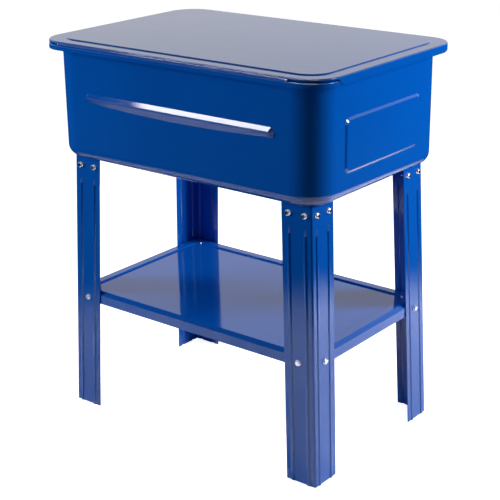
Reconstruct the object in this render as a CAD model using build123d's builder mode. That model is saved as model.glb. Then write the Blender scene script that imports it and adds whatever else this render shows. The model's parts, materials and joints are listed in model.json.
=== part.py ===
"""Parts washer tank: a pressed steel tank with a hinged lid on four splayed legs with a lower shelf.

Frame: millimetres, +Z up, origin on the floor under the middle of the lid. X runs along the tank.
The user stands at -Y. The lid's hinge is on the +Y side, the pump and the lid stay at the +X end.
"""

import os
from math import cos, radians, sin

from build123d import *

# ---------------------------------------------------------------- driving dimensions
# Overall
lid_length = 750.0
lid_front_y = -253.8
lid_rear_y = 250.5
rim_top_z = 864.5

# Tank
sheet = 1.5
tank_length = 706.0
tank_width = 463.0
tank_corner_r = 64.0
tank_bottom_z = 605.0
tank_bottom_r = 25.0
flange_top_z = 857.0
flange_length = 746.4
flange_width = 504.0
flange_corner_r = 63.0
lip_height = 11.0

# Ridge pressed out of both long walls, and panel pressed out of both end walls
ridge_length = 506.0
ridge_top_z = 757.5
ridge_depth = 9.5
ridge_lower_drop = 18.5
ridge_bow = 8.5
ridge_end_margin = 3.2
ridge_end_height = 70.0
ridge_end_r = 18.0
panel_width = 276.0
panel_height = 112.0
panel_mid_z = 715.0
panel_depth = 2.8
panel_slope_angle = 62.0

# Legs: the outer corner of each leg, at the floor, and how much it leans in per mm of height
foot_x = 348.35
foot_y = 219.95
lean_x = 0.042
lean_y = 0.025
leg_sheet = 2.0
leg_flange = 73.5
leg_top_z = 603.0
leg_bend_r = 4.0
bead_offsets = (17.0, 57.0)
bead_width = 9.0
bead_height = 2.2
bead_top_z = 556.0
bead_tip = 14.0
top_bolt_z = 583.5
shelf_bolt_z = 270.0
shelf_bolt_offset = 38.5
bolt_r = 3.0
bolt_hole_r = 3.3
bolt_head_across = 10.0
bolt_head_height = 4.0

# Lower shelf
shelf_length = 668.8
shelf_width = 421.6
shelf_corner_r = 14.0
shelf_bottom_z = 260.0
shelf_top_z = 289.0
shelf_bevel = 8.0
shelf_border = 18.0
shelf_recess = 3.5

# Lid and hinge
lid_sheet = 1.5
lid_corner_r = 65.0
lid_skirt_sheet = 1.2
lid_skirt = 16.0
lid_rear_skirt = 5.0
lid_skirt_end_y = 178.0
lid_border = 29.0
lid_raise = 2.0
hinge_length = 600.0
hinge_mid_x = 3.0
hinge_knuckles = 12
hinge_y = 253.6
hinge_z = 860.0
hinge_barrel_r = 3.0
hinge_bore_r = 1.55
hinge_pin_r = 1.5
hinge_leaf = 1.2
hinge_leaf_width = 22.0
knuckle_gap = 0.8

# Lid stay, which slides on a stud on the end wall
stay_x = 336.0
stay_radius = 130.0
stay_drop_angle = 5.3
stay_stud_angle = 26.0
lid_open_angle = 80.0
stay_bar_width = 20.0
stay_bar_sheet = 2.5
stud_r = 4.0
stud_clearance = 0.4

# Work shelf inside the tank
work_shelf_x0 = -340.0
work_shelf_x1 = 130.0
work_shelf_half_width = 220.0
work_shelf_top_z = 752.0
work_shelf_rim = 12.0
work_shelf_sheet = 1.5
ledge_depth = 14.0
ledge_length = 44.0

# Pump, drain and spout
pump_x = 235.0
pump_y = -20.0
pump_r = 48.0
floor_inner_z = tank_bottom_z + sheet
hose_z = 640.0
spout_y = 185.0
spout_plate_z = 766.0
hose_outer_r = 7.0
hose_inner_r = 5.2
barb_r = 5.0
drain_x = 60.0
drain_y = 0.0

# Switch box on the front wall
switch_x = 230.0
switch_z = 806.0

os.makedirs("parts", exist_ok=True)


def save(piece, name):
    """Label a finished piece and write its STEP file."""
    piece.label = name
    export_step(piece, f"parts/{name}.step")


# ---------------------------------------------------------------- tank shell
wall_x = tank_length / 2
wall_y = tank_width / 2


def ridge_section(x, inset):
    """Cross-section of the ridge at x: upper root, crown and lower root. The lower root is bowed."""
    root_y = wall_y - 2.0 - inset
    crown_y = wall_y + ridge_depth - inset
    crown_z = ridge_top_z - ridge_depth
    drop = ridge_lower_drop - ridge_bow * (2 * x / ridge_length) ** 2
    slope = drop / ridge_depth
    with BuildSketch(Plane.YZ.offset(x)) as section:
        with BuildLine():
            Polyline(
                (root_y, ridge_top_z + 2.0),
                (crown_y, crown_z),
                (root_y, crown_z - drop - 2.0 * slope),
                close=True,
            )
        make_face()
    return section.sketch


def ridge(inset):
    """The long ridge of a long wall at +Y, set in by a sheet's thickness for its inner face."""
    half = ridge_length / 2
    outward = Plane(origin=(0, wall_y - 2.0 - inset, 0), x_dir=(-1, 0, 0), z_dir=(0, 1, 0))
    with BuildPart() as bar:
        for place in (-1.1, -0.7, -0.35, 0.0, 0.35, 0.7, 1.1):
            add(ridge_section(place * half, inset))
        loft()
        crown = bar.edges().filter_by(lambda edge: edge.length > ridge_length).sort_by(Axis.Y)[-1]
        fillet(crown, 3.0)
        with BuildSketch(outward):
            with Locations((0, ridge_top_z + ridge_end_margin - ridge_end_height / 2)):
                RectangleRounded(ridge_length + 4.0, ridge_end_height, ridge_end_r)
        extrude(amount=ridge_depth + 4.0, taper=42, mode=Mode.INTERSECT)
    return bar.part


def panel(inset):
    """The raised panel of an end wall at +X."""
    with BuildPart() as plate:
        with BuildSketch(Plane.YZ.offset(wall_x - inset)) as outline:
            with Locations((0, panel_mid_z)):
                RectangleRounded(panel_width, panel_height, 16.0)
        extrude(amount=panel_depth, taper=panel_slope_angle)
    return plate.part


def tank_block(inset, top_z):
    """The tank's outer form, or its inner form when inset by the sheet's thickness."""
    with BuildPart() as block:
        with BuildSketch(Plane.XY.offset(tank_bottom_z + inset)):
            RectangleRounded(tank_length - 2 * inset, tank_width - 2 * inset, tank_corner_r - inset)
        extrude(amount=top_z - tank_bottom_z - inset)
        fillet(block.faces().sort_by(Axis.Z)[0].edges(), tank_bottom_r - inset)
        add(ridge(inset))
        add(ridge(inset).mirror(Plane.XZ))
        add(panel(inset))
        add(panel(inset).mirror(Plane.YZ))
    return block.part


with BuildPart() as tank_shell:
    add(tank_block(0.0, flange_top_z))
    with BuildSketch(Plane.XY.offset(flange_top_z - lip_height)):
        RectangleRounded(flange_length, flange_width, flange_corner_r)
    extrude(amount=lip_height)
    fillet(tank_shell.faces().sort_by(Axis.Z)[-1].edges(), 2.5)
    with BuildSketch(Plane.XY.offset(flange_top_z - lip_height)):
        RectangleRounded(
            flange_length - 2 * sheet, flange_width - 2 * sheet, flange_corner_r - sheet
        )
        RectangleRounded(tank_length, tank_width, tank_corner_r, mode=Mode.SUBTRACT)
    extrude(amount=lip_height - sheet, mode=Mode.SUBTRACT)
    add(tank_block(sheet, flange_top_z + 1.0), mode=Mode.SUBTRACT)
    with Locations((drain_x, drain_y, tank_bottom_z)):
        Cylinder(14.0, 10.0, mode=Mode.SUBTRACT)
save(tank_shell.part, "tank_shell")


# ---------------------------------------------------------------- legs
def leg_corner(z):
    """Outer corner of the +X +Y leg at height z."""
    return foot_x - lean_x * z, foot_y - lean_y * z


def flange_plane(side, sign_x, sign_y, offset, z, depth=0.0):
    """Plane on a leg flange's outer face, moved inwards by depth, with its normal facing out.

    side "long" is the flange along X (facing +Y or -Y); side "end" is the one along Y.
    """
    corner_x, corner_y = leg_corner(z)
    if side == "long":
        origin = (sign_x * (corner_x - offset), sign_y * corner_y, z)
        normal = Vector(0, sign_y, lean_y).normalized()
    else:
        origin = (sign_x * corner_x, sign_y * (corner_y - offset), z)
        normal = Vector(sign_x, 0, lean_x).normalized()
    return Plane(origin=Vector(*origin) - normal * depth, x_dir=Vector(0, 0, 1).cross(normal), z_dir=normal)


def corner_signs():
    """The four corners as (name, sign_x, sign_y)."""
    return (
        ("front_left", -1, -1),
        ("front_right", 1, -1),
        ("rear_left", -1, 1),
        ("rear_right", 1, 1),
    )


def angle_bar(corner, thickness, width, bend_r, z0, z1):
    """A plain angle with its outer corner at corner, leaning with the legs, from z0 to z1."""
    corner_x, corner_y = corner
    with BuildPart() as bar:
        with BuildSketch(Plane.XY.offset(z0)) as profile:
            with BuildLine():
                Polyline(
                    (corner_x, corner_y),
                    (corner_x - width, corner_y),
                    (corner_x - width, corner_y - thickness),
                    (corner_x - thickness, corner_y - thickness),
                    (corner_x - thickness, corner_y - width),
                    (corner_x, corner_y - width),
                    close=True,
                )
            make_face()
            fillet(profile.vertices().group_by(Axis.X)[-1].sort_by(Axis.Y)[-1], bend_r)
        slope = Vector(-lean_x, -lean_y, 1)
        extrude(amount=(z1 - z0) * slope.length, dir=slope)
    return bar.part


def bead(side, offset, depth, z0, z1):
    """One pressed bead of a leg flange: a shallow arched rib that runs out in a tapered tip."""

    def rib_section(z, scale):
        corner_x, corner_y = leg_corner(z)
        half = bead_width / 2 * scale
        rise = bead_height * scale
        with BuildSketch(Plane.XY.offset(z)) as section:
            with BuildLine():
                if side == "long":
                    x, y = corner_x - offset, corner_y - depth
                    start, crown, end = (x - half, y), (x, y + rise), (x + half, y)
                    low_end, low_start = (x + half, y - 0.6), (x - half, y - 0.6)
                else:
                    x, y = corner_x - depth, corner_y - offset
                    start, crown, end = (x, y - half), (x + rise, y), (x, y + half)
                    low_end, low_start = (x - 0.6, y + half), (x - 0.6, y - half)
                ThreePointArc(start, crown, end)
                Polyline(end, low_end, low_start, start)
            make_face()
        return section.sketch

    with BuildPart() as rib:
        add(rib_section(z0, 1.0))
        add(rib_section(z1 - bead_tip, 1.0))
        loft()
    with BuildPart() as tip:
        add(rib_section(z1 - bead_tip, 1.0))
        add(rib_section(z1, 0.12))
        loft()
    return rib.part + tip.part


with BuildPart() as base_leg:
    add(angle_bar(leg_corner(0.0), leg_sheet, leg_flange, leg_bend_r, 0.0, leg_top_z))
    for bead_side in ("long", "end"):
        for bead_offset in bead_offsets:
            add(bead(bead_side, bead_offset, 0.0, 0.0, bead_top_z))
            add(bead(bead_side, bead_offset, leg_sheet, 0.0, bead_top_z), mode=Mode.SUBTRACT)
    for hole_side in ("long", "end"):
        top_holes = [flange_plane(hole_side, 1, 1, offset, top_bolt_z) for offset in bead_offsets]
        shelf_holes = [flange_plane(hole_side, 1, 1, shelf_bolt_offset, shelf_bolt_z)]
        for hole_plane in top_holes + shelf_holes:
            with BuildSketch(hole_plane.offset(-6.0)):
                Circle(bolt_hole_r)
            extrude(amount=12.0, mode=Mode.SUBTRACT)

with BuildPart() as base_bracket:
    bracket_corner_x, bracket_corner_y = leg_corner(545.0)
    bracket_corner = (bracket_corner_x - leg_sheet - 0.1, bracket_corner_y - leg_sheet - 0.1)
    add(angle_bar(bracket_corner, 2.0, 70.0, 2.6, 545.0, tank_bottom_z))
    top_corner_x, top_corner_y = leg_corner(tank_bottom_z)
    with BuildSketch(Plane.XY.offset(tank_bottom_z - 2.0)):
        with BuildLine():
            Polyline(
                (top_corner_x - 3.2, top_corner_y - 3.2),
                (top_corner_x - 71.0, top_corner_y - 3.2),
                (top_corner_x - 71.0, top_corner_y - 20.0),
                (top_corner_x - 20.0, top_corner_y - 71.0),
                (top_corner_x - 3.2, top_corner_y - 71.0),
                close=True,
            )
        make_face()
    extrude(amount=2.0)
    for hole_side in ("long", "end"):
        for hole_offset in bead_offsets:
            with BuildSketch(flange_plane(hole_side, 1, 1, hole_offset, top_bolt_z, 10.0)):
                Circle(bolt_hole_r)
            extrude(amount=12.0, mode=Mode.SUBTRACT)


def placed_copy(piece, sign_x, sign_y):
    """Mirror a +X +Y piece to one of the four corners."""
    copy = piece
    if sign_x < 0:
        copy = copy.mirror(Plane.YZ)
    if sign_y < 0:
        copy = copy.mirror(Plane.XZ)
    return copy


for corner_name, corner_sign_x, corner_sign_y in corner_signs():
    with BuildPart() as leg:
        add(placed_copy(base_leg.part, corner_sign_x, corner_sign_y))
    save(leg.part, f"leg_{corner_name}")
    with BuildPart() as leg_bracket:
        add(placed_copy(base_bracket.part, corner_sign_x, corner_sign_y))
    save(leg_bracket.part, f"leg_bracket_{corner_name}")


# ---------------------------------------------------------------- bolts and nuts
def hex_bolt(length):
    """M6 flanged hex bolt along Z: the head's seat at z = 0, the shank below it."""
    with BuildPart() as bolt:
        with BuildSketch():
            Circle(6.4)
        extrude(amount=1.2)
        with BuildSketch(Plane.XY.offset(1.2)):
            RegularPolygon(bolt_head_across / 2, 6, major_radius=False)
        extrude(amount=bolt_head_height)
        with BuildSketch(Plane.XZ):
            with BuildLine():
                top_z = 1.2 + bolt_head_height
                Polyline((4.2, top_z), (8.0, top_z - 2.2), (8.0, top_z + 1.0), (4.2, top_z + 1.0), close=True)
            make_face()
        revolve(axis=Axis.Z, mode=Mode.SUBTRACT)
        with BuildSketch():
            Circle(bolt_r)
        extrude(amount=-length)
    return bolt.part


def hex_nut(clearance):
    """M6 hex nut along Z with its seat at z = 0 and its body below, bored clear of the bolt."""
    with BuildPart() as nut:
        with BuildSketch():
            RegularPolygon(5.0, 6, major_radius=False)
            Circle(bolt_r + clearance, mode=Mode.SUBTRACT)
        extrude(amount=-5.0)
    return nut.part


def bolt_planes(offsets, z, depth):
    """Planes of one row of bolts on both flanges of all four legs."""
    planes = []
    for _, sign_x, sign_y in corner_signs():
        for side in ("long", "end"):
            for offset in offsets:
                planes.append(flange_plane(side, sign_x, sign_y, offset, z, depth))
    return planes


def fastener_group(piece, planes):
    """Copies of one fastener, one on each plane."""
    with BuildPart() as group:
        for plane in planes:
            add(plane.location * piece)
    return group.part


shelf_offsets = (shelf_bolt_offset,)
grip_top = leg_sheet + 0.1 + 2.0
grip_shelf = leg_sheet + 2.4
save(fastener_group(hex_bolt(14.0), bolt_planes(bead_offsets, top_bolt_z, 0.0)), "leg_top_bolts")
save(fastener_group(hex_nut(0.05), bolt_planes(bead_offsets, top_bolt_z, grip_top)), "leg_top_nuts")
save(fastener_group(hex_bolt(14.0), bolt_planes(shelf_offsets, shelf_bolt_z, 0.0)), "shelf_bolts")
save(fastener_group(hex_nut(0.05), bolt_planes(shelf_offsets, shelf_bolt_z, grip_shelf)), "shelf_nuts")

# ---------------------------------------------------------------- lower shelf
with BuildPart() as lower_shelf:
    with BuildSketch(Plane.XY.offset(shelf_bottom_z)):
        RectangleRounded(shelf_length, shelf_width, shelf_corner_r)
    extrude(amount=shelf_top_z - shelf_bottom_z)
    chamfer(lower_shelf.faces().sort_by(Axis.Z)[-1].edges(), shelf_bevel)
    with BuildSketch(Plane.XY.offset(shelf_bottom_z)):
        RectangleRounded(shelf_length - 2 * sheet, shelf_width - 2 * sheet, shelf_corner_r - sheet)
    extrude(amount=shelf_top_z - shelf_bottom_z - shelf_bevel - 0.6, mode=Mode.SUBTRACT)
    with BuildSketch(Plane.XY.offset(shelf_top_z - shelf_bevel - 0.6)):
        RectangleRounded(shelf_length - 2 * sheet, shelf_width - 2 * sheet, shelf_corner_r - sheet)
    extrude(amount=shelf_bevel - sheet + 0.6, taper=45, mode=Mode.SUBTRACT)
    inner_length = shelf_length - 2 * (shelf_bevel + shelf_border)
    inner_width = shelf_width - 2 * (shelf_bevel + shelf_border)
    with BuildSketch(Plane.XY.offset(shelf_top_z - sheet + 0.1)):
        RectangleRounded(inner_length + 1.4, inner_width + 1.4, 20.0)
    extrude(amount=-shelf_recess - 0.1, taper=45)
    with BuildSketch(Plane.XY.offset(shelf_top_z)):
        RectangleRounded(inner_length, inner_width, 20.0)
    extrude(amount=-shelf_recess, taper=45, mode=Mode.SUBTRACT)
    for shelf_plane in bolt_planes(shelf_offsets, shelf_bolt_z, 10.0):
        with BuildSketch(shelf_plane):
            Circle(bolt_hole_r)
        extrude(amount=12.0, mode=Mode.SUBTRACT)
save(lower_shelf.part, "lower_shelf")

# ---------------------------------------------------------------- lid
lid_width = lid_rear_y - lid_front_y
lid_mid_y = (lid_rear_y + lid_front_y) / 2
skirt_bottom_z = rim_top_z - lid_skirt
rear_skirt_z = rim_top_z - lid_rear_skirt
plate_bottom_z = rim_top_z - lid_sheet
raised_length = lid_length - 2 * lid_border
raised_width = lid_width - 2 * lid_border

with BuildPart() as lid:
    with BuildSketch(Plane.XY.offset(skirt_bottom_z)):
        with Locations((0, lid_mid_y)):
            RectangleRounded(lid_length, lid_width, lid_corner_r)
    extrude(amount=lid_skirt)
    fillet(lid.faces().sort_by(Axis.Z)[-1].edges(), 2.4)
    with BuildSketch(Plane.XY.offset(rim_top_z)):
        with Locations((0, lid_mid_y)):
            RectangleRounded(raised_length, raised_width, 50.0)
    extrude(amount=lid_raise, taper=56)
    with BuildSketch(Plane.XY.offset(skirt_bottom_z)):
        with Locations((0, lid_mid_y)):
            RectangleRounded(
                lid_length - 2 * lid_skirt_sheet,
                lid_width - 2 * lid_skirt_sheet,
                lid_corner_r - lid_skirt_sheet,
            )
    extrude(amount=lid_skirt - lid_sheet, mode=Mode.SUBTRACT)
    with BuildSketch(Plane.XY.offset(plate_bottom_z)):
        with Locations((0, lid_mid_y)):
            RectangleRounded(raised_length, raised_width, 50.0)
    extrude(amount=lid_raise, taper=56, mode=Mode.SUBTRACT)
    with BuildSketch(Plane.YZ.offset(-lid_length)):
        with BuildLine():
            Polyline(
                (lid_skirt_end_y, skirt_bottom_z - 1.0),
                (lid_skirt_end_y + 14.0, rear_skirt_z),
                (lid_rear_y + 2.0, rear_skirt_z),
                (lid_rear_y + 2.0, skirt_bottom_z - 1.0),
                close=True,
            )
        make_face()
    extrude(amount=2 * lid_length, mode=Mode.SUBTRACT)
    with BuildSketch(Plane.XY.offset(skirt_bottom_z)):
        with Locations((hinge_mid_x, lid_rear_y)):
            Rectangle(hinge_length + 8.0, 10.0)
    extrude(amount=plate_bottom_z - skirt_bottom_z, mode=Mode.SUBTRACT)
save(lid.part, "lid")

with BuildPart() as lid_bumpers:
    for bumper_x in (-300.0, 300.0):
        with BuildSketch(Plane.XY.offset(flange_top_z + 0.3)):
            with Locations((bumper_x, -240.0)):
                Circle(6.0)
        extrude(amount=plate_bottom_z - flange_top_z - 0.3)
save(lid_bumpers.part, "lid_bumpers")

# ---------------------------------------------------------------- hinge
hinge_x0 = hinge_mid_x - hinge_length / 2
knuckle_length = hinge_length / hinge_knuckles


def hinge_half(leaf_z, first_knuckle):
    """One leaf with every second knuckle of the barrel."""
    with BuildPart() as half:
        for index in range(first_knuckle, hinge_knuckles, 2):
            x0 = hinge_x0 + index * knuckle_length + knuckle_gap / 2
            length = knuckle_length - knuckle_gap
            with BuildSketch(Plane.YZ.offset(x0)):
                with Locations((hinge_y, hinge_z)):
                    Circle(hinge_barrel_r)
            extrude(amount=length)
            with BuildSketch(Plane.XY.offset(leaf_z)):
                with Locations((x0 + length / 2, hinge_y - 2.5)):
                    Rectangle(length, 5.0)
            extrude(amount=hinge_leaf)
        with BuildSketch(Plane.XY.offset(leaf_z)):
            with Locations((hinge_mid_x, hinge_y - 4.2 - hinge_leaf_width / 2 + 2.1)):
                Rectangle(hinge_length, hinge_leaf_width - 4.2)
        extrude(amount=hinge_leaf)
        with BuildSketch(Plane.YZ.offset(hinge_x0 - 1.0)):
            with Locations((hinge_y, hinge_z)):
                Circle(hinge_bore_r)
        extrude(amount=hinge_length + 2.0, mode=Mode.SUBTRACT)
    return half.part


save(hinge_half(hinge_z - hinge_barrel_r, 0), "hinge_tank_leaf")
save(hinge_half(hinge_z + hinge_barrel_r - hinge_leaf, 1), "hinge_lid_leaf")

with BuildPart() as hinge_pin:
    with BuildSketch(Plane.YZ.offset(hinge_x0 - 1.5)):
        with Locations((hinge_y, hinge_z)):
            Circle(hinge_pin_r)
    extrude(amount=hinge_length + 3.0)
    for head_x in (hinge_x0 - 3.0, hinge_x0 + hinge_length + 1.0):
        with BuildSketch(Plane.YZ.offset(head_x)):
            with Locations((hinge_y, hinge_z)):
                Circle(2.4)
        extrude(amount=2.0)
save(hinge_pin.part, "hinge_pin")

# ---------------------------------------------------------------- lid stay
drop = radians(stay_drop_angle)
stud_drop = radians(stay_drop_angle + stay_stud_angle)
pivot_y = hinge_y - stay_radius * cos(drop)
pivot_z = hinge_z - stay_radius * sin(drop)
stud_y = hinge_y - stay_radius * cos(stud_drop)
stud_z = hinge_z - stay_radius * sin(stud_drop)
closed_reach = 2 * stay_radius * sin(radians(stay_stud_angle / 2))
open_reach = 2 * stay_radius * sin(radians((stay_stud_angle + lid_open_angle) / 2))
stay_direction = Vector(0, stud_y - pivot_y, stud_z - pivot_z).normalized()
stay_back_x = stay_x - stay_bar_sheet


def stay_plane(x):
    """Plane across the stay at x: local X runs down the bar from its pivot."""
    return Plane(origin=(x, pivot_y, pivot_z), x_dir=stay_direction, z_dir=(1, 0, 0))


upper_bar_end = 24.0
link_start = 14.0
link_end = 42.0
slotted_bar_start = 32.0
rivet_places = (19.0, 37.0)
slot_start = closed_reach - stud_r - stud_clearance
slot_end = open_reach + stud_r + stud_clearance

with BuildPart() as stay_upper_bar:
    with BuildSketch(stay_plane(stay_back_x)):
        with Locations(((upper_bar_end - 10.0) / 2, 0)):
            RectangleRounded(upper_bar_end + 10.0, stay_bar_width, 6.0)
        Circle(3.05, mode=Mode.SUBTRACT)
        with Locations((rivet_places[0], 0)):
            Circle(2.0, mode=Mode.SUBTRACT)
    extrude(amount=stay_bar_sheet)
save(stay_upper_bar.part, "stay_upper_bar")

with BuildPart() as fusible_link:
    with BuildSketch(stay_plane(stay_back_x - 1.2)):
        with Locations(((link_start + link_end) / 2, 0)):
            RectangleRounded(link_end - link_start, 14.0, 3.0)
        with Locations(*[(place, 0) for place in rivet_places]):
            Circle(2.0, mode=Mode.SUBTRACT)
    extrude(amount=1.2)
save(fusible_link.part, "fusible_link")

with BuildPart() as stay_slotted_bar:
    bar_end = slot_end + 9.0
    with BuildSketch(stay_plane(stay_back_x)):
        with Locations(((slotted_bar_start + bar_end) / 2, 0)):
            RectangleRounded(bar_end - slotted_bar_start, stay_bar_width, 5.0)
        with Locations((rivet_places[1], 0)):
            Circle(2.0, mode=Mode.SUBTRACT)
        with Locations(((slot_start + slot_end) / 2, 0)):
            SlotOverall(slot_end - slot_start, 2 * (stud_r + stud_clearance), mode=Mode.SUBTRACT)
        with Locations((slot_end - stud_r - stud_clearance, 2.4)):
            Circle(stud_r + stud_clearance, mode=Mode.SUBTRACT)
    extrude(amount=stay_bar_sheet)
save(stay_slotted_bar.part, "stay_slotted_bar")

with BuildPart() as link_rivets:
    for rivet_place in rivet_places:
        for rivet_x, rivet_r, rivet_length in (
            (stay_back_x - 2.4, 3.6, 1.2),
            (stay_back_x - 1.2, 2.0, stay_bar_sheet + 1.2),
            (stay_x, 3.6, 1.0),
        ):
            with BuildSketch(stay_plane(rivet_x)):
                with Locations((rivet_place, 0)):
                    Circle(rivet_r)
            extrude(amount=rivet_length)
save(link_rivets.part, "link_rivets")

raised_bottom_z = plate_bottom_z + lid_raise
with BuildPart() as stay_lid_bracket:
    with BuildSketch(Plane.XY.offset(raised_bottom_z - 2.0)):
        with Locations((stay_x - 9.0, pivot_y)):
            Rectangle(22.0, 34.0)
    extrude(amount=2.0)
    with BuildSketch(Plane.YZ.offset(stay_x + 0.5)):
        with Locations((pivot_y, (raised_bottom_z + pivot_z - 9.0) / 2)):
            Rectangle(24.0, raised_bottom_z - pivot_z + 9.0)
        with Locations((pivot_y, pivot_z)):
            Circle(3.0, mode=Mode.SUBTRACT)
    extrude(amount=1.5)
save(stay_lid_bracket.part, "stay_lid_bracket")

with BuildPart() as stay_pivot_pin:
    for pin_x, pin_r, pin_length in (
        (stay_back_x - 1.8, 5.0, 1.5),
        (stay_back_x - 0.3, 3.0, stay_bar_sheet + 2.3),
        (stay_x + 2.0, 5.0, 1.2),
    ):
        with BuildSketch(stay_plane(pin_x)):
            Circle(pin_r)
        extrude(amount=pin_length)
save(stay_pivot_pin.part, "stay_pivot_pin")

with BuildPart() as stay_stud:
    for stud_x, radius, length in (
        (stay_x + 2.5, 9.0, wall_x - sheet - stay_x - 2.5),
        (stay_back_x - 1.0, stud_r, stay_bar_sheet + 3.5),
        (stay_back_x - 4.0, 8.0, 3.0),
    ):
        with BuildSketch(Plane.YZ.offset(stud_x)):
            with Locations((stud_y, stud_z)):
                Circle(radius)
        extrude(amount=length)
save(stay_stud.part, "stay_stud")

# ---------------------------------------------------------------- work shelf and ledges
work_shelf_length = work_shelf_x1 - work_shelf_x0
work_shelf_mid_x = (work_shelf_x0 + work_shelf_x1) / 2
work_shelf_bottom_z = work_shelf_top_z - work_shelf_rim
hole_pitch = 36.0

with BuildPart() as work_shelf:
    with BuildSketch(Plane.XY.offset(work_shelf_bottom_z)):
        with Locations((work_shelf_mid_x, 0)):
            RectangleRounded(work_shelf_length, 2 * work_shelf_half_width, 54.0)
    extrude(amount=work_shelf_rim)
    fillet(work_shelf.faces().sort_by(Axis.Z)[-1].edges(), 3.0)
    with BuildSketch(Plane.XY.offset(work_shelf_bottom_z)):
        with Locations((work_shelf_mid_x, 0)):
            RectangleRounded(
                work_shelf_length - 2 * work_shelf_sheet,
                2 * (work_shelf_half_width - work_shelf_sheet),
                54.0 - work_shelf_sheet,
            )
    extrude(amount=work_shelf_rim - work_shelf_sheet, mode=Mode.SUBTRACT)
    with BuildSketch(Plane.XY.offset(work_shelf_top_z)):
        with Locations((work_shelf_mid_x, 0)):
            with GridLocations(hole_pitch, hole_pitch, 11, 10):
                Circle(6.0)
    extrude(amount=-work_shelf_rim, mode=Mode.SUBTRACT)
save(work_shelf.part, "work_shelf")

ledge_top_z = work_shelf_bottom_z - 0.3
inner_wall_y = wall_y - sheet
inner_wall_x = wall_x - sheet


def ledge(x, sign_y):
    """One welded ledge on a long wall: a short angle with its shelf uppermost."""
    with BuildPart() as angle:
        with BuildSketch(Plane.YZ.offset(x - ledge_length / 2)):
            with BuildLine():
                Polyline(
                    (sign_y * inner_wall_y, ledge_top_z),
                    (sign_y * (inner_wall_y - ledge_depth), ledge_top_z),
                    (sign_y * (inner_wall_y - ledge_depth), ledge_top_z - 1.5),
                    (sign_y * (inner_wall_y - 1.5), ledge_top_z - 1.5),
                    (sign_y * (inner_wall_y - 1.5), ledge_top_z - 22.0),
                    (sign_y * inner_wall_y, ledge_top_z - 22.0),
                    close=True,
                )
            make_face()
        extrude(amount=ledge_length)
    return angle.part


with BuildPart() as work_shelf_ledges:
    for ledge_x in (-240.0, 70.0):
        for ledge_sign in (-1, 1):
            add(ledge(ledge_x, ledge_sign))
save(work_shelf_ledges.part, "work_shelf_ledges")

# ---------------------------------------------------------------- drain
with BuildPart() as drain_fitting:
    with BuildSketch(Plane.XY.offset(tank_bottom_z - 12.0)):
        with Locations((drain_x, drain_y)):
            Circle(18.0)
            Circle(10.05, mode=Mode.SUBTRACT)
    extrude(amount=12.0)
    with BuildSketch(Plane.XY.offset(tank_bottom_z)):
        with Locations((drain_x, drain_y)):
            Circle(14.0)
            Circle(10.05, mode=Mode.SUBTRACT)
    extrude(amount=sheet)
save(drain_fitting.part, "drain_fitting")

with BuildPart() as drain_gasket:
    with BuildSketch(Plane.XY.offset(tank_bottom_z - 14.0)):
        with Locations((drain_x, drain_y)):
            Circle(15.0)
            Circle(10.4, mode=Mode.SUBTRACT)
    extrude(amount=2.0)
save(drain_gasket.part, "drain_gasket")

with BuildPart() as drain_plug:
    with BuildSketch(Plane.XY.offset(tank_bottom_z - 12.0)):
        with Locations((drain_x, drain_y)):
            Circle(10.0)
    extrude(amount=11.0)
    with BuildSketch(Plane.XY.offset(tank_bottom_z - 18.3)):
        with Locations((drain_x, drain_y)):
            Circle(16.0)
    extrude(amount=4.0)
    with BuildSketch(Plane.XY.offset(tank_bottom_z - 14.3)):
        with Locations((drain_x, drain_y)):
            Circle(10.0)
    extrude(amount=2.3)
    with BuildSketch(Plane.XY.offset(tank_bottom_z - 26.3)):
        with Locations((drain_x, drain_y)):
            RegularPolygon(9.5, 6, major_radius=False)
    extrude(amount=8.0)
save(drain_plug.part, "drain_plug")

# ---------------------------------------------------------------- pump
pump_foot = 3.0
strainer_z = floor_inner_z + pump_foot
chamber_z = strainer_z + 8.0
chamber_top_z = chamber_z + 16.0
housing_top_z = 716.0


def ring_of(count, radius):
    """Points on a circle about the pump's axis."""
    return [
        (pump_x + radius * cos(radians(360 / count * i)), pump_y + radius * sin(radians(360 / count * i)))
        for i in range(count)
    ]


with BuildPart() as pump_feet:
    for foot in ring_of(3, 36.0):
        with BuildSketch(Plane.XY.offset(floor_inner_z)):
            with Locations(foot):
                Circle(7.0)
        extrude(amount=pump_foot)
save(pump_feet.part, "pump_feet")

with BuildPart() as pump_strainer:
    with BuildSketch(Plane.XY.offset(strainer_z)):
        with Locations((pump_x, pump_y)):
            Circle(pump_r + 4.0)
        with Locations(*ring_of(16, 40.0)):
            Circle(3.0, mode=Mode.SUBTRACT)
        with Locations(*ring_of(8, 22.0)):
            Circle(4.0, mode=Mode.SUBTRACT)
    extrude(amount=3.0)
    with BuildSketch(Plane.XY.offset(strainer_z + 3.0)):
        with Locations((pump_x, pump_y)):
            Circle(pump_r + 4.0)
            Circle(pump_r - 1.0, mode=Mode.SUBTRACT)
    extrude(amount=4.9)
save(pump_strainer.part, "pump_strainer")

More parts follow.
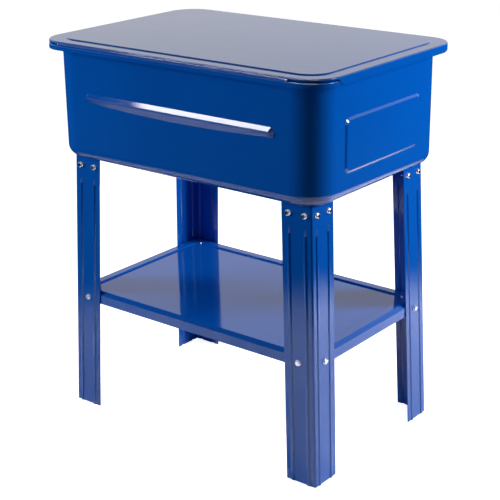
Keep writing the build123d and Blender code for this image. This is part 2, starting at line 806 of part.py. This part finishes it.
with BuildPart() as pump_housing:
    with BuildSketch(Plane.XY.offset(chamber_z)):
        with Locations((pump_x, pump_y)):
            Circle(pump_r)
    extrude(amount=housing_top_z - chamber_z)
    fillet(pump_housing.faces().sort_by(Axis.Z)[-1].edges(), 14.0)
    with BuildSketch(Plane.XY.offset(chamber_z)):
        with Locations((pump_x, pump_y)):
            Circle(36.0)
    extrude(amount=chamber_top_z - chamber_z, mode=Mode.SUBTRACT)
    with BuildSketch(Plane.XY.offset(chamber_top_z)):
        with Locations((pump_x, pump_y)):
            Circle(3.05)
    extrude(amount=24.0, mode=Mode.SUBTRACT)
    with BuildSketch(Plane.XZ.offset(-(pump_y + pump_r - 4.0))):
        with Locations((pump_x, hose_z)):
            Circle(9.5)
    extrude(amount=-12.0)
    for fin in ring_of(12, pump_r + 1.0):
        with BuildSketch(Plane.XY.offset(hose_z + 18.0)):
            with Locations(fin):
                Circle(2.2)
        extrude(amount=44.0)
save(pump_housing.part, "pump_housing")

with BuildPart() as pump_shaft:
    with BuildSketch(Plane.XY.offset(chamber_z + 2.0)):
        with Locations((pump_x, pump_y)):
            Circle(3.0)
    extrude(amount=chamber_top_z - chamber_z + 20.0)
save(pump_shaft.part, "pump_shaft")

with BuildPart() as pump_impeller:
    with BuildSketch(Plane.XY.offset(chamber_z + 2.0)):
        with Locations((pump_x, pump_y)):
            Circle(32.0)
            Circle(3.0, mode=Mode.SUBTRACT)
    extrude(amount=2.0)
    with BuildSketch(Plane.XY.offset(chamber_z + 4.0)):
        with Locations((pump_x, pump_y)):
            Circle(8.0)
            Circle(3.0, mode=Mode.SUBTRACT)
    extrude(amount=9.0)
    with BuildSketch(Plane.XY.offset(chamber_z + 4.0)):
        with Locations((pump_x, pump_y)):
            with PolarLocations(19.0, 6):
                Rectangle(24.0, 2.0)
    extrude(amount=8.0)
save(pump_impeller.part, "pump_impeller")

barb_start_y = pump_y + pump_r + 8.0
with BuildPart() as pump_outlet:
    with BuildSketch(Plane.XZ.offset(-barb_start_y)):
        with Locations((pump_x, hose_z)):
            Circle(barb_r)
            Circle(3.2, mode=Mode.SUBTRACT)
    extrude(amount=-26.0)
    with BuildSketch(Plane.XZ.offset(-barb_start_y)):
        with Locations((pump_x, hose_z)):
            RegularPolygon(8.5, 6, major_radius=False)
            Circle(3.2, mode=Mode.SUBTRACT)
    extrude(amount=-5.0)
save(pump_outlet.part, "pump_outlet")

# ---------------------------------------------------------------- delivery hose and clamps
hose_start_y = barb_start_y + 6.0
hose_bend_r = 55.0
hose_top_z = spout_plate_z - 18.0
with BuildPart() as delivery_hose:
    with BuildLine() as hose_path:
        hose_run = Line((pump_x, hose_start_y, hose_z), (pump_x, spout_y - hose_bend_r, hose_z))
        hose_bend = TangentArc(
            hose_run @ 1, (pump_x, spout_y, hose_z + hose_bend_r), tangent=hose_run % 1
        )
        Line(hose_bend @ 1, (pump_x, spout_y, hose_top_z))
    with BuildSketch(Plane(origin=(pump_x, hose_start_y, hose_z), z_dir=(0, 1, 0))):
        Circle(hose_outer_r)
        Circle(hose_inner_r, mode=Mode.SUBTRACT)
    sweep(path=hose_path.wires()[0])
save(delivery_hose.part, "delivery_hose")

with BuildPart() as hose_clamps:
    with BuildSketch(Plane.XZ.offset(-(hose_start_y + 4.0))):
        with Locations((pump_x, hose_z)):
            Circle(hose_outer_r + 1.2)
            Circle(hose_outer_r, mode=Mode.SUBTRACT)
    extrude(amount=-8.0)
    with BuildSketch(Plane.XY.offset(hose_top_z - 12.0)):
        with Locations((pump_x, spout_y)):
            Circle(hose_outer_r + 1.2)
            Circle(hose_outer_r, mode=Mode.SUBTRACT)
    extrude(amount=8.0)
    for screw_plane in (
        Plane(origin=(pump_x - 5.0, hose_start_y + 8.0, hose_z + hose_outer_r + 3.6), z_dir=(1, 0, 0)),
        Plane(origin=(pump_x - 5.0, spout_y + hose_outer_r + 3.6, hose_top_z - 8.0), z_dir=(1, 0, 0)),
    ):
        with BuildSketch(screw_plane):
            Circle(3.2)
        extrude(amount=10.0)
save(hose_clamps.part, "hose_clamps")

# ---------------------------------------------------------------- spout
with BuildPart() as spout_bracket:
    with BuildSketch(Plane.YZ.offset(pump_x - 26.0)):
        with BuildLine():
            Polyline(
                (inner_wall_y, spout_plate_z + 2.0),
                (spout_y - 22.0, spout_plate_z + 2.0),
                (spout_y - 22.0, spout_plate_z),
                (inner_wall_y - 2.0, spout_plate_z),
                (inner_wall_y - 2.0, 705.0),
                (inner_wall_y, 705.0),
                close=True,
            )
        make_face()
    extrude(amount=52.0)
    with BuildSketch(Plane.XY.offset(spout_plate_z)):
        with Locations((pump_x, spout_y)):
            Circle(8.3)
    extrude(amount=2.0, mode=Mode.SUBTRACT)
save(spout_bracket.part, "spout_bracket")

fitting_top_z = spout_plate_z + 10.0
with BuildPart() as spout_fitting:
    for fitting_z, fitting_r, fitting_length in (
        (spout_plate_z + 2.0, 13.0, 8.0),
        (spout_plate_z - 12.0, 8.0, 14.0),
        (hose_top_z - 14.0, barb_r, 20.0),
    ):
        with BuildSketch(Plane.XY.offset(fitting_z)):
            with Locations((pump_x, spout_y)):
                Circle(fitting_r)
        extrude(amount=fitting_length)
    with BuildSketch(Plane.XY.offset(hose_top_z - 14.0)):
        with Locations((pump_x, spout_y)):
            Circle(3.2)
    extrude(amount=60.0, mode=Mode.SUBTRACT)
    with BuildSketch(Plane.XY.offset(fitting_top_z - 9.0)):
        with Locations((pump_x, spout_y)):
            Circle(6.05)
    extrude(amount=9.0, mode=Mode.SUBTRACT)
save(spout_fitting.part, "spout_fitting")

with BuildPart() as spout_locknut:
    with BuildSketch(Plane.XY.offset(spout_plate_z - 6.0)):
        with Locations((pump_x, spout_y)):
            RegularPolygon(13.0, 6, major_radius=False)
            Circle(8.05, mode=Mode.SUBTRACT)
    extrude(amount=6.0)
save(spout_locknut.part, "spout_locknut")

neck_r = 7.5
neck_bore_r = 3.6
neck_start_z = fitting_top_z + 12.0
neck_bend_r = 30.0
neck_level_z = 834.0
neck_tip_x = pump_x - 165.0
neck_tip_z = 806.0
with BuildPart() as spout_gooseneck:
    with BuildLine() as neck_path:
        neck_rise = Line((pump_x, spout_y, neck_start_z), (pump_x, spout_y, neck_level_z - neck_bend_r))
        neck_bend = TangentArc(
            neck_rise @ 1, (pump_x - neck_bend_r, spout_y, neck_level_z), tangent=neck_rise % 1
        )
        neck_run = Line(neck_bend @ 1, (neck_tip_x + 26.0, spout_y, neck_level_z))
        TangentArc(neck_run @ 1, (neck_tip_x, spout_y, neck_level_z - 26.0), tangent=neck_run % 1)
    with BuildSketch(Plane.XY.offset(neck_start_z)):
        with Locations((pump_x, spout_y)):
            Circle(neck_r)
            Circle(neck_bore_r, mode=Mode.SUBTRACT)
    sweep(path=neck_path.wires()[0])
    with BuildSketch(Plane.XY.offset(fitting_top_z + 0.3)):
        with Locations((pump_x, spout_y)):
            Circle(11.0)
            Circle(neck_bore_r, mode=Mode.SUBTRACT)
    extrude(amount=neck_start_z - fitting_top_z)
    with BuildSketch(Plane.XY.offset(fitting_top_z - 8.5)):
        with Locations((pump_x, spout_y)):
            Circle(6.0)
            Circle(neck_bore_r, mode=Mode.SUBTRACT)
    extrude(amount=9.0)
save(spout_gooseneck.part, "spout_gooseneck")

neck_end_z = neck_level_z - 26.0
with BuildPart() as spout_nozzle:
    with BuildSketch(Plane.XY.offset(neck_end_z)):
        with Locations((neck_tip_x, spout_y)):
            RegularPolygon(8.5, 6, major_radius=False)
    extrude(amount=-7.0)
    with BuildSketch(Plane.XY.offset(neck_end_z - 7.0)):
        with Locations((neck_tip_x, spout_y)):
            Circle(6.5)
    extrude(amount=-16.0, taper=6)
    with BuildSketch(Plane.XY.offset(neck_end_z)):
        with Locations((neck_tip_x, spout_y)):
            Circle(neck_bore_r)
    extrude(amount=-30.0, mode=Mode.SUBTRACT)
save(spout_nozzle.part, "spout_nozzle")

# ---------------------------------------------------------------- switch box and cord gland
box_back_y = -wall_y
box_front_y = box_back_y - 17.0
switch_box_length = 60.0
switch_box_height = 52.0
box_side_x = switch_x + switch_box_length / 2
gland_y = box_back_y - 9.0
gland_z = switch_z - 12.0
with BuildPart() as switch_box:
    with BuildSketch(Plane.XZ.offset(-box_back_y)):
        with Locations((switch_x, switch_z)):
            RectangleRounded(switch_box_length, switch_box_height, 6.0)
    extrude(amount=17.0)
    fillet(switch_box.faces().sort_by(Axis.Y)[0].edges(), 2.5)
    with BuildSketch(Plane.XZ.offset(-box_back_y)):
        with Locations((switch_x, switch_z)):
            RectangleRounded(switch_box_length - 4.0, switch_box_height - 4.0, 4.0)
    extrude(amount=15.0, mode=Mode.SUBTRACT)
    with BuildSketch(Plane.XZ.offset(-box_front_y - 3.0)):
        with Locations((switch_x, switch_z + 2.0)):
            Rectangle(27.0, 21.0)
    extrude(amount=6.0, mode=Mode.SUBTRACT)
    with BuildSketch(Plane.YZ.offset(box_side_x - 4.0)):
        with Locations((gland_y, gland_z)):
            Circle(6.0)
    extrude(amount=6.0, mode=Mode.SUBTRACT)
save(switch_box.part, "switch_box")

rocker_y = box_front_y + 3.0
rocker_axle_r = 1.2
with BuildPart() as switch_bezel:
    with BuildSketch(Plane.XZ.offset(-box_front_y)):
        with Locations((switch_x, switch_z + 2.0)):
            RectangleRounded(31.0, 25.0, 2.0)
            Rectangle(22.0, 15.0, mode=Mode.SUBTRACT)
    extrude(amount=1.5)
    with BuildSketch(Plane.XZ.offset(-box_front_y)):
        with Locations((switch_x, switch_z + 2.0)):
            Rectangle(26.6, 20.6)
            Rectangle(22.0, 15.0, mode=Mode.SUBTRACT)
    extrude(amount=-11.0)
    with BuildSketch(Plane.YZ.offset(switch_x - 12.6)):
        with Locations((rocker_y, switch_z + 2.0)):
            Circle(rocker_axle_r + 0.05)
    extrude(amount=25.2, mode=Mode.SUBTRACT)
save(switch_bezel.part, "switch_bezel")

with BuildPart() as switch_rocker:
    with BuildSketch(Plane.YZ.offset(switch_x - 10.0)):
        with BuildLine():
            Polyline(
                (rocker_y + 3.0, switch_z + 2.0 - 5.5),
                (box_front_y - 0.6, switch_z + 2.0 - 5.8),
                (box_front_y - 0.9, switch_z + 2.0),
                (box_front_y - 3.4, switch_z + 2.0 + 5.8),
                (rocker_y + 3.0, switch_z + 2.0 + 5.5),
                close=True,
            )
        make_face()
    extrude(amount=20.0)
    with BuildSketch(Plane.YZ.offset(switch_x - 12.4)):
        with Locations((rocker_y, switch_z + 2.0)):
            Circle(rocker_axle_r)
    extrude(amount=24.8)
save(switch_rocker.part, "switch_rocker")

with BuildPart() as cord_gland:
    with BuildSketch(Plane(origin=(box_side_x, gland_y, gland_z), x_dir=(0, 1, 0), z_dir=(1, 0, 0))):
        RegularPolygon(7.6, 6, major_radius=False, rotation=30)
    extrude(amount=5.0)
    with BuildSketch(Plane.YZ.offset(box_side_x + 5.0)):
        with Locations((gland_y, gland_z)):
            Circle(7.0)
    extrude(amount=11.0, taper=8)
    with BuildSketch(Plane.YZ.offset(box_side_x)):
        with Locations((gland_y, gland_z)):
            Circle(5.9)
    extrude(amount=-5.0)
    with BuildSketch(Plane.YZ.offset(box_side_x - 5.0)):
        with Locations((gland_y, gland_z)):
            Circle(3.6)
    extrude(amount=21.0, mode=Mode.SUBTRACT)
save(cord_gland.part, "cord_gland")
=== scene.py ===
"""Looks of the parts washer tank: materials, stage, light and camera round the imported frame."""

import json
import math

import bpy
from mathutils import Matrix, Vector

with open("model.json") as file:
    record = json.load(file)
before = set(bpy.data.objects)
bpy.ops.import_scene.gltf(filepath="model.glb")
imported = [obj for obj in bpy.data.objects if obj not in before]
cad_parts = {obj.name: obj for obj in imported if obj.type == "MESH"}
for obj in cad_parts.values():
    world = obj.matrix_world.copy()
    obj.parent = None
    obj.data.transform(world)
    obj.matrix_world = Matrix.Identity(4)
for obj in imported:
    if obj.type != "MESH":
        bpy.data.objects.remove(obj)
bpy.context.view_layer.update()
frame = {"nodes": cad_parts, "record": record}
nodes = frame["nodes"]

# ---------------------------------------------------------------- shader helpers


class Graph:
    """A material's node tree, with short calls for the nodes that the finishes share."""

    def __init__(self, name):
        self.material = bpy.data.materials.new(name)
        self.material.use_nodes = True
        self.tree = self.material.node_tree
        self.tree.nodes.clear()
        self.output = self.tree.nodes.new("ShaderNodeOutputMaterial")
        self.shader = self.tree.nodes.new("ShaderNodeBsdfPrincipled")
        self.link(self.shader.outputs["BSDF"], self.output.inputs["Surface"])
        self.place = self.tree.nodes.new("ShaderNodeTexCoord").outputs["Object"]

    def link(self, source, target):
        self.tree.links.new(source, target)

    def set(self, **values):
        """Set the shader's own sockets, with underscores for the spaces in their names."""
        for key, value in values.items():
            self.shader.inputs[key.replace("_", " ")].default_value = value

    def stretch(self, scale):
        """The object's coordinates, scaled on each axis."""
        node = self.tree.nodes.new("ShaderNodeMapping")
        node.inputs["Scale"].default_value = scale
        self.link(self.place, node.inputs["Vector"])
        return node.outputs["Vector"]

    def noise(self, scale, detail=3.0, rough=0.5, place=None, distortion=0.0):
        node = self.tree.nodes.new("ShaderNodeTexNoise")
        node.inputs["Scale"].default_value = scale
        node.inputs["Detail"].default_value = detail
        node.inputs["Roughness"].default_value = rough
        node.inputs["Distortion"].default_value = distortion
        self.link(place or self.place, node.inputs["Vector"])
        return node.outputs["Fac"]

    def cells(self, scale):
        node = self.tree.nodes.new("ShaderNodeTexVoronoi")
        node.inputs["Scale"].default_value = scale
        self.link(self.place, node.inputs["Vector"])
        return node

    def ramp(self, source, stops):
        """Map a value through (position, grey or colour) stops."""
        node = self.tree.nodes.new("ShaderNodeValToRGB")
        elements = node.color_ramp.elements
        while len(elements) < len(stops):
            elements.new(0.5)
        for element, (position, colour) in zip(elements, stops):
            element.position = position
            if isinstance(colour, (int, float)):
                colour = (colour, colour, colour)
            element.color = (*colour[:3], 1.0)
        self.link(source, node.inputs["Fac"])
        return node.outputs["Color"]

    def math(self, operation, first, second=0.5):
        node = self.tree.nodes.new("ShaderNodeMath")
        node.operation = operation
        for socket, value in zip(node.inputs, (first, second)):
            if isinstance(value, (int, float)):
                socket.default_value = value
            else:
                self.link(value, socket)
        return node.outputs["Value"]

    def mix(self, factor, first, second):
        """Mix two colours, given as tuples or sockets."""
        node = self.tree.nodes.new("ShaderNodeMix")
        node.data_type = "RGBA"
        for name, value in (("Factor_Float", factor), ("A_Color", first), ("B_Color", second)):
            socket = next(s for s in node.inputs if s.identifier == name)
            if isinstance(value, (int, float)):
                socket.default_value = value
            elif isinstance(value, tuple):
                socket.default_value = (*value[:3], 1.0)
            else:
                self.link(value, socket)
        return next(s for s in node.outputs if s.identifier == "Result_Color")

    def bump(self, height, strength, distance, below=None):
        node = self.tree.nodes.new("ShaderNodeBump")
        node.inputs["Strength"].default_value = strength
        node.inputs["Distance"].default_value = distance
        self.link(height, node.inputs["Height"])
        if below is not None:
            self.link(below, node.inputs["Normal"])
        self.link(node.outputs["Normal"], self.shader.inputs["Normal"])
        return node.outputs["Normal"]

    def drive(self, name, source):
        self.link(source, self.shader.inputs[name])


# ---------------------------------------------------------------- finishes


def make_enamel():
    """Glossy blue baked enamel: slight shade drift, orange peel, sheet waviness and a few dust nibs."""
    g = Graph("blue_enamel_finish")
    g.set(Roughness=0.07, IOR=1.5)
    drift = g.ramp(g.noise(2.2, 2.0), ((0.3, (0.0008, 0.098, 0.50)), (0.7, (0.0010, 0.116, 0.575))))
    specks = g.ramp(g.cells(160.0).outputs["Distance"], ((0.0, 1.0), (0.05, 0.0)))
    rare = g.ramp(g.noise(31.0, 1.0), ((0.66, 0.0), (0.70, 1.0)))
    nibs = g.math("MULTIPLY", specks, rare)
    g.drive("Base Color", g.mix(nibs, drift, (0.03, 0.17, 0.55)))
    smear = g.ramp(g.noise(9.0, 5.0, 0.6, distortion=0.6), ((0.35, 0.050), (0.75, 0.105)))
    g.drive("Roughness", smear)
    wave = g.bump(g.noise(5.0, 1.0, 0.3), 0.35, 0.0012)
    peel = g.bump(g.noise(420.0, 2.0, 0.5), 0.05, 0.0002, below=wave)
    g.bump(nibs, 0.25, 0.0002, below=peel)
    return g.material


def make_zinc(name, colour, rough, grain=900.0):
    """Bright zinc plate: mottled, with fine scratches."""
    g = Graph(name)
    g.set(Metallic=1.0, Roughness=rough)
    mottle = g.noise(170.0, 4.0, 0.6)
    darker = tuple(c * 0.80 for c in colour)
    g.drive("Base Color", g.ramp(mottle, ((0.35, darker), (0.65, colour))))
    g.drive("Roughness", g.ramp(g.noise(60.0, 5.0, 0.7), ((0.3, rough * 0.7), (0.7, rough * 1.5))))
    scratch = g.noise(grain, 2.0, 0.5, place=g.stretch((0.12, 1.0, 1.0)))
    g.bump(scratch, 0.12, 0.0002)
    return g.material


def make_galvanised():
    """Galvanised sheet: large pale crystals with a fine grain over them."""
    g = Graph("galvanised_finish")
    g.set(Metallic=1.0, Roughness=0.34)
    crystal = g.cells(70.0)
    tone = g.ramp(crystal.outputs["Color"], ((0.2, (0.42, 0.44, 0.46)), (0.8, (0.66, 0.68, 0.70))))
    g.drive("Base Color", tone)
    g.drive("Roughness", g.ramp(g.noise(45.0, 4.0, 0.6), ((0.3, 0.26), (0.7, 0.44))))
    grain = g.bump(g.noise(700.0, 3.0), 0.10, 0.0002)
    g.bump(crystal.outputs["Distance"], 0.12, 0.0003, below=grain)
    return g.material


def make_brass():
    """Machined brass: turning rings, a little tarnish."""
    g = Graph("brass_finish")
    g.set(Metallic=1.0, Roughness=0.26)
    tarnish = g.noise(55.0, 5.0, 0.65)
    g.drive("Base Color", g.ramp(tarnish, ((0.3, (0.46, 0.30, 0.10)), (0.65, (0.78, 0.58, 0.27)))))
    g.drive("Roughness", g.ramp(g.noise(90.0, 3.0), ((0.3, 0.18), (0.7, 0.40))))
    g.bump(g.noise(1500.0, 1.0, place=g.stretch((0.06, 0.06, 1.0))), 0.12, 0.0002)
    return g.material


def make_chrome():
    """Polished plate with faint smears."""
    g = Graph("chrome_finish")
    g.set(Metallic=1.0, Roughness=0.07)
    g.drive("Base Color", g.ramp(g.noise(20.0, 3.0), ((0.3, (0.70, 0.71, 0.73)), (0.7, (0.82, 0.83, 0.85)))))
    g.drive("Roughness", g.ramp(g.noise(70.0, 5.0, 0.65), ((0.35, 0.04), (0.75, 0.16))))
    g.bump(g.noise(600.0, 2.0), 0.03, 0.0001)
    return g.material


def make_rubber():
    """Black rubber: matt, slightly dusty, with a fine moulded grain."""
    g = Graph("rubber_finish")
    g.set(Roughness=0.62, IOR=1.5)
    dust = g.noise(28.0, 5.0, 0.65)
    g.drive("Base Color", g.ramp(dust, ((0.35, (0.012, 0.012, 0.013)), (0.75, (0.034, 0.033, 0.032)))))
    g.drive("Roughness", g.ramp(dust, ((0.3, 0.52), (0.7, 0.78))))
    g.bump(g.noise(950.0, 3.0, 0.6), 0.25, 0.0003)
    return g.material


def make_plastic(name, low, high, rough, grain):
    """Moulded plastic with a spark-eroded grain."""
    g = Graph(name)
    g.set(Roughness=rough, IOR=1.46)
    g.drive("Base Color", g.ramp(g.noise(16.0, 4.0, 0.6), ((0.35, low), (0.7, high))))
    g.drive("Roughness", g.ramp(g.noise(40.0, 4.0), ((0.3, rough * 0.8), (0.7, rough * 1.25))))
    g.bump(g.noise(1400.0, 2.0, 0.55), grain, 0.0002)
    return g.material


finishes = {
    "blue_enamel": make_enamel(),
    "zinc_fasteners": make_zinc("zinc_finish", (0.80, 0.82, 0.86), 0.20),
    "bright_steel": make_zinc("bright_steel_finish", (0.66, 0.67, 0.69), 0.27),
    "galvanised_steel": make_galvanised(),
    "brass": make_brass(),
    "chrome_tube": make_chrome(),
    "black_rubber": make_rubber(),
    "black_plastic": make_plastic(
        "black_plastic_finish", (0.014, 0.014, 0.016), (0.024, 0.024, 0.027), 0.42, 0.22
    ),
    "black_gloss": make_plastic(
        "black_gloss_finish", (0.008, 0.008, 0.010), (0.014, 0.014, 0.016), 0.16, 0.03
    ),
    "red_plastic": make_plastic(
        "red_plastic_finish", (0.40, 0.010, 0.008), (0.52, 0.018, 0.012), 0.20, 0.04
    ),
}
slot_of = {row["node"]: row["material_slot"] for row in frame["record"]["subparts"]}
for name, node in nodes.items():
    node.data.materials.clear()
    node.data.materials.append(finishes[slot_of[name]])

# ---------------------------------------------------------------- stage and light

# Metres and radiances. Mirror rays see a painted pool of light on the floor, which fades to a painted dim
# room; bounce rays see a darker copy of the floor, painted shade.
floor_half_size = 14.0
floor_z = -0.0004
# Centre and fade radii of the painted pool of light on the floor.
painted_pool_middle = (-0.30, 0.12, 0.0)
painted_pool_edge = (0.96, 1.42)
# Painted light: the floor's colour to mirror rays, a pool brighter than white, then a painted dark room.
painted_light_pool_mirrored = (2.1, 2.1, 2.2)
painted_dark_room_mirrored = (0.01, 0.01, 0.01)
# Painted shade: the floor is darker to bounce rays than to the camera.
painted_shade_floor_bounce = (0.30, 0.30, 0.30)
paper_glow = 0.90

# The world's brightness to mirror rays falls from the walls' to the ceiling's between two heights of the
# ray's direction. Other rays see an even fill, and the camera sees white.
ceiling_start, ceiling_full = 0.42, 0.66
wall_mirrored, ceiling_mirrored = 0.97, 0.03
world_fill = 0.09


def make_stage():
    """A white floor. Mirror rays see a painted pool of light on it that fades to a painted dim room, and
    bounce rays see a darker copy, painted shade.
    """
    mesh = bpy.data.meshes.new("floor")
    half = floor_half_size
    corners = [(-half, -half), (half, -half), (half, half), (-half, half)]
    mesh.from_pydata([(x, y, floor_z) for x, y in corners], [], [(0, 1, 2, 3)])
    floor = bpy.data.objects.new("floor", mesh)
    bpy.context.scene.collection.objects.link(floor)
    g = Graph("floor_with_painted_light")
    g.set(Roughness=0.9, Specular_IOR_Level=0.0)
    spread = g.tree.nodes.new("ShaderNodeVectorMath")
    spread.operation = "DISTANCE"
    spread.inputs[1].default_value = painted_pool_middle
    g.link(g.place, spread.inputs[0])
    fade = g.tree.nodes.new("ShaderNodeMapRange")
    fade.interpolation_type = "SMOOTHSTEP"
    fade.inputs["From Min"].default_value, fade.inputs["From Max"].default_value = painted_pool_edge
    g.link(spread.outputs["Value"], fade.inputs["Value"])
    rays = g.tree.nodes.new("ShaderNodeLightPath")
    # Painted pool of light fading to a painted dark room, as mirror rays see the floor; painted shade for
    # bounce rays.
    painted_pool_for_mirrors = g.mix(fade.outputs["Result"], painted_light_pool_mirrored, painted_dark_room_mirrored)
    paper = g.mix(rays.outputs["Is Glossy Ray"], painted_shade_floor_bounce, painted_pool_for_mirrors)
    g.drive("Base Color", g.mix(rays.outputs["Is Camera Ray"], paper, (1.0, 1.0, 1.0)))
    g.set(Emission_Color=(1.0, 1.0, 1.0, 1.0))
    g.drive("Emission Strength", g.math("MULTIPLY", rays.outputs["Is Camera Ray"], paper_glow))
    mesh.materials.append(g.material)


def make_world():
    """White walls round a dark ceiling, as mirror rays see them, and a low even fill."""
    world = bpy.data.worlds.new("studio")
    bpy.context.scene.world = world
    world.use_nodes = True
    tree = world.node_tree
    tree.nodes.clear()

    def background(strength):
        node = tree.nodes.new("ShaderNodeBackground")
        node.inputs["Strength"].default_value = strength
        node.inputs["Color"].default_value = (1, 1, 1, 1)
        return node

    def blend(factor, first, second):
        node = tree.nodes.new("ShaderNodeMixShader")
        tree.links.new(factor, node.inputs["Fac"])
        tree.links.new(first, node.inputs[1])
        tree.links.new(second, node.inputs[2])
        return node.outputs["Shader"]

    rays = tree.nodes.new("ShaderNodeLightPath")
    split = tree.nodes.new("ShaderNodeSeparateXYZ")
    tree.links.new(tree.nodes.new("ShaderNodeTexCoord").outputs["Generated"], split.inputs["Vector"])
    height = tree.nodes.new("ShaderNodeMapRange")
    height.interpolation_type = "SMOOTHSTEP"
    height.inputs["From Min"].default_value = ceiling_start
    height.inputs["From Max"].default_value = ceiling_full
    height.inputs["To Min"].default_value = wall_mirrored
    height.inputs["To Max"].default_value = ceiling_mirrored
    tree.links.new(split.outputs["Z"], height.inputs["Value"])
    walls = background(1.0)
    tree.links.new(height.outputs["Result"], walls.inputs["Strength"])
    lit = blend(rays.outputs["Is Glossy Ray"], background(world_fill).outputs[0], walls.outputs[0])
    seen = blend(rays.outputs["Is Camera Ray"], lit, background(1.0).outputs[0])
    tree.links.new(seen, tree.nodes.new("ShaderNodeOutputWorld").inputs["Surface"])


def area_light(name, place, aim, size, radiance, mirrors=True, lights=True):
    """A rectangular soft light of a given radiance that faces aim."""
    data = bpy.data.lights.new(name, "AREA")
    data.shape = "RECTANGLE"
    data.size, data.size_y = size
    data.energy = radiance * math.pi * size[0] * size[1]
    light = bpy.data.objects.new(name, data)
    bpy.context.scene.collection.objects.link(light)
    light.location = place
    light.rotation_mode = "QUATERNION"
    light.rotation_quaternion = (Vector(place) - Vector(aim)).to_track_quat("Z", "Y")
    light.visible_camera = False
    light.visible_glossy = mirrors
    light.visible_diffuse = lights
    return light


make_stage()
make_world()
area_light("overhead_box", (0.12, 0.86, 2.5), (0.12, 0.86, 0), (3.25, 0.56), 17.0, lights=False)
area_light("right_box", (-2.2, -1.75, 1.35), (-0.3, 0, 0.6), (1.0, 1.2), 22.5, mirrors=False)
area_light("left_box", (2.4, 1.9, 1.3), (0, 0.2, 0.6), (1.0, 1.2), 15.5, mirrors=False)
area_light("glint_box", (-2.75, -0.62, 1.52), (-0.35, 0.13, 0.77), (0.6, 0.8), 34.0, lights=False)

# ---------------------------------------------------------------- camera

camera_azimuth = math.radians(218.364)
camera_elevation = math.radians(20.031)
camera_roll = math.radians(-0.638)
camera_target = Vector((-0.07887, 0.08973, 0.430))
camera_distance = 2.7443
camera_lens = 91.5


def make_camera():
    a, e, r = camera_azimuth, camera_elevation, camera_roll
    back = Vector((math.sin(a) * math.cos(e), -math.cos(a) * math.cos(e), math.sin(e)))
    right = Vector((math.cos(a), math.sin(a), 0.0))
    up = back.cross(right)
    turned_right = right * math.cos(r) + up * math.sin(r)
    turned_up = up * math.cos(r) - right * math.sin(r)
    data = bpy.data.cameras.new("camera")
    data.lens = camera_lens
    data.sensor_width = 36.0
    camera = bpy.data.objects.new("camera", data)
    bpy.context.scene.collection.objects.link(camera)
    turn = Matrix((turned_right, turned_up, back)).transposed().to_4x4()
    camera.matrix_world = Matrix.Translation(camera_target + back * camera_distance) @ turn
    bpy.context.scene.camera = camera


make_camera()
bpy.context.scene.view_settings.view_transform = "Standard"
bpy.context.scene.view_settings.look = "None"
